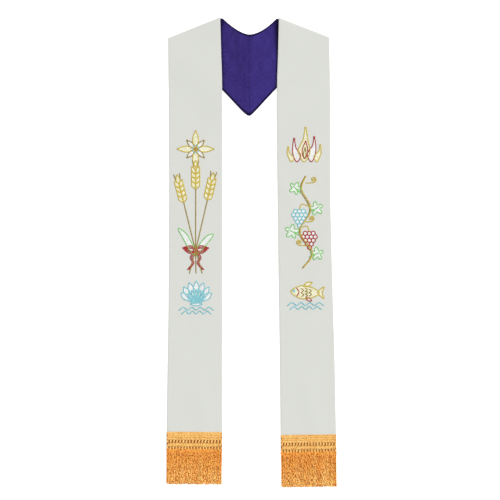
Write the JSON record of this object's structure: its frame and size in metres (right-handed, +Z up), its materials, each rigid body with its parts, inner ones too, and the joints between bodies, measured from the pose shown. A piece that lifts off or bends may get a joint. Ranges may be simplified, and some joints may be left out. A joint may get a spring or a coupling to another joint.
{
  "type": "clerical stole",
  "caption": "Long clerical stole laid flat, with cream ends, a purple back yoke, embroidery and gold fringes.",
  "frame": {"origin": "middle of the footprint, on the surface that the stole lies on", "axes": "+Z up from the surface towards the stole's front, +Y from the fringes towards the neck, +X to the right as seen from above"},
  "size_m": [0.4036, 1.1124, 0.0089],
  "materials": {
    "outer_cloth": "matte, fine plain weave",
    "lining_cloth": "soft satin",
    "gold_fringe": "silky thread"
  },
  "bodies": {
    "root": {"outer_left": "outer_cloth", "outer_right": "outer_cloth", "lining_left": "lining_cloth", "lining_right": "lining_cloth", "fringe_left": "gold_fringe", "fringe_right": "gold_fringe"}
  },
  "joints": []
}
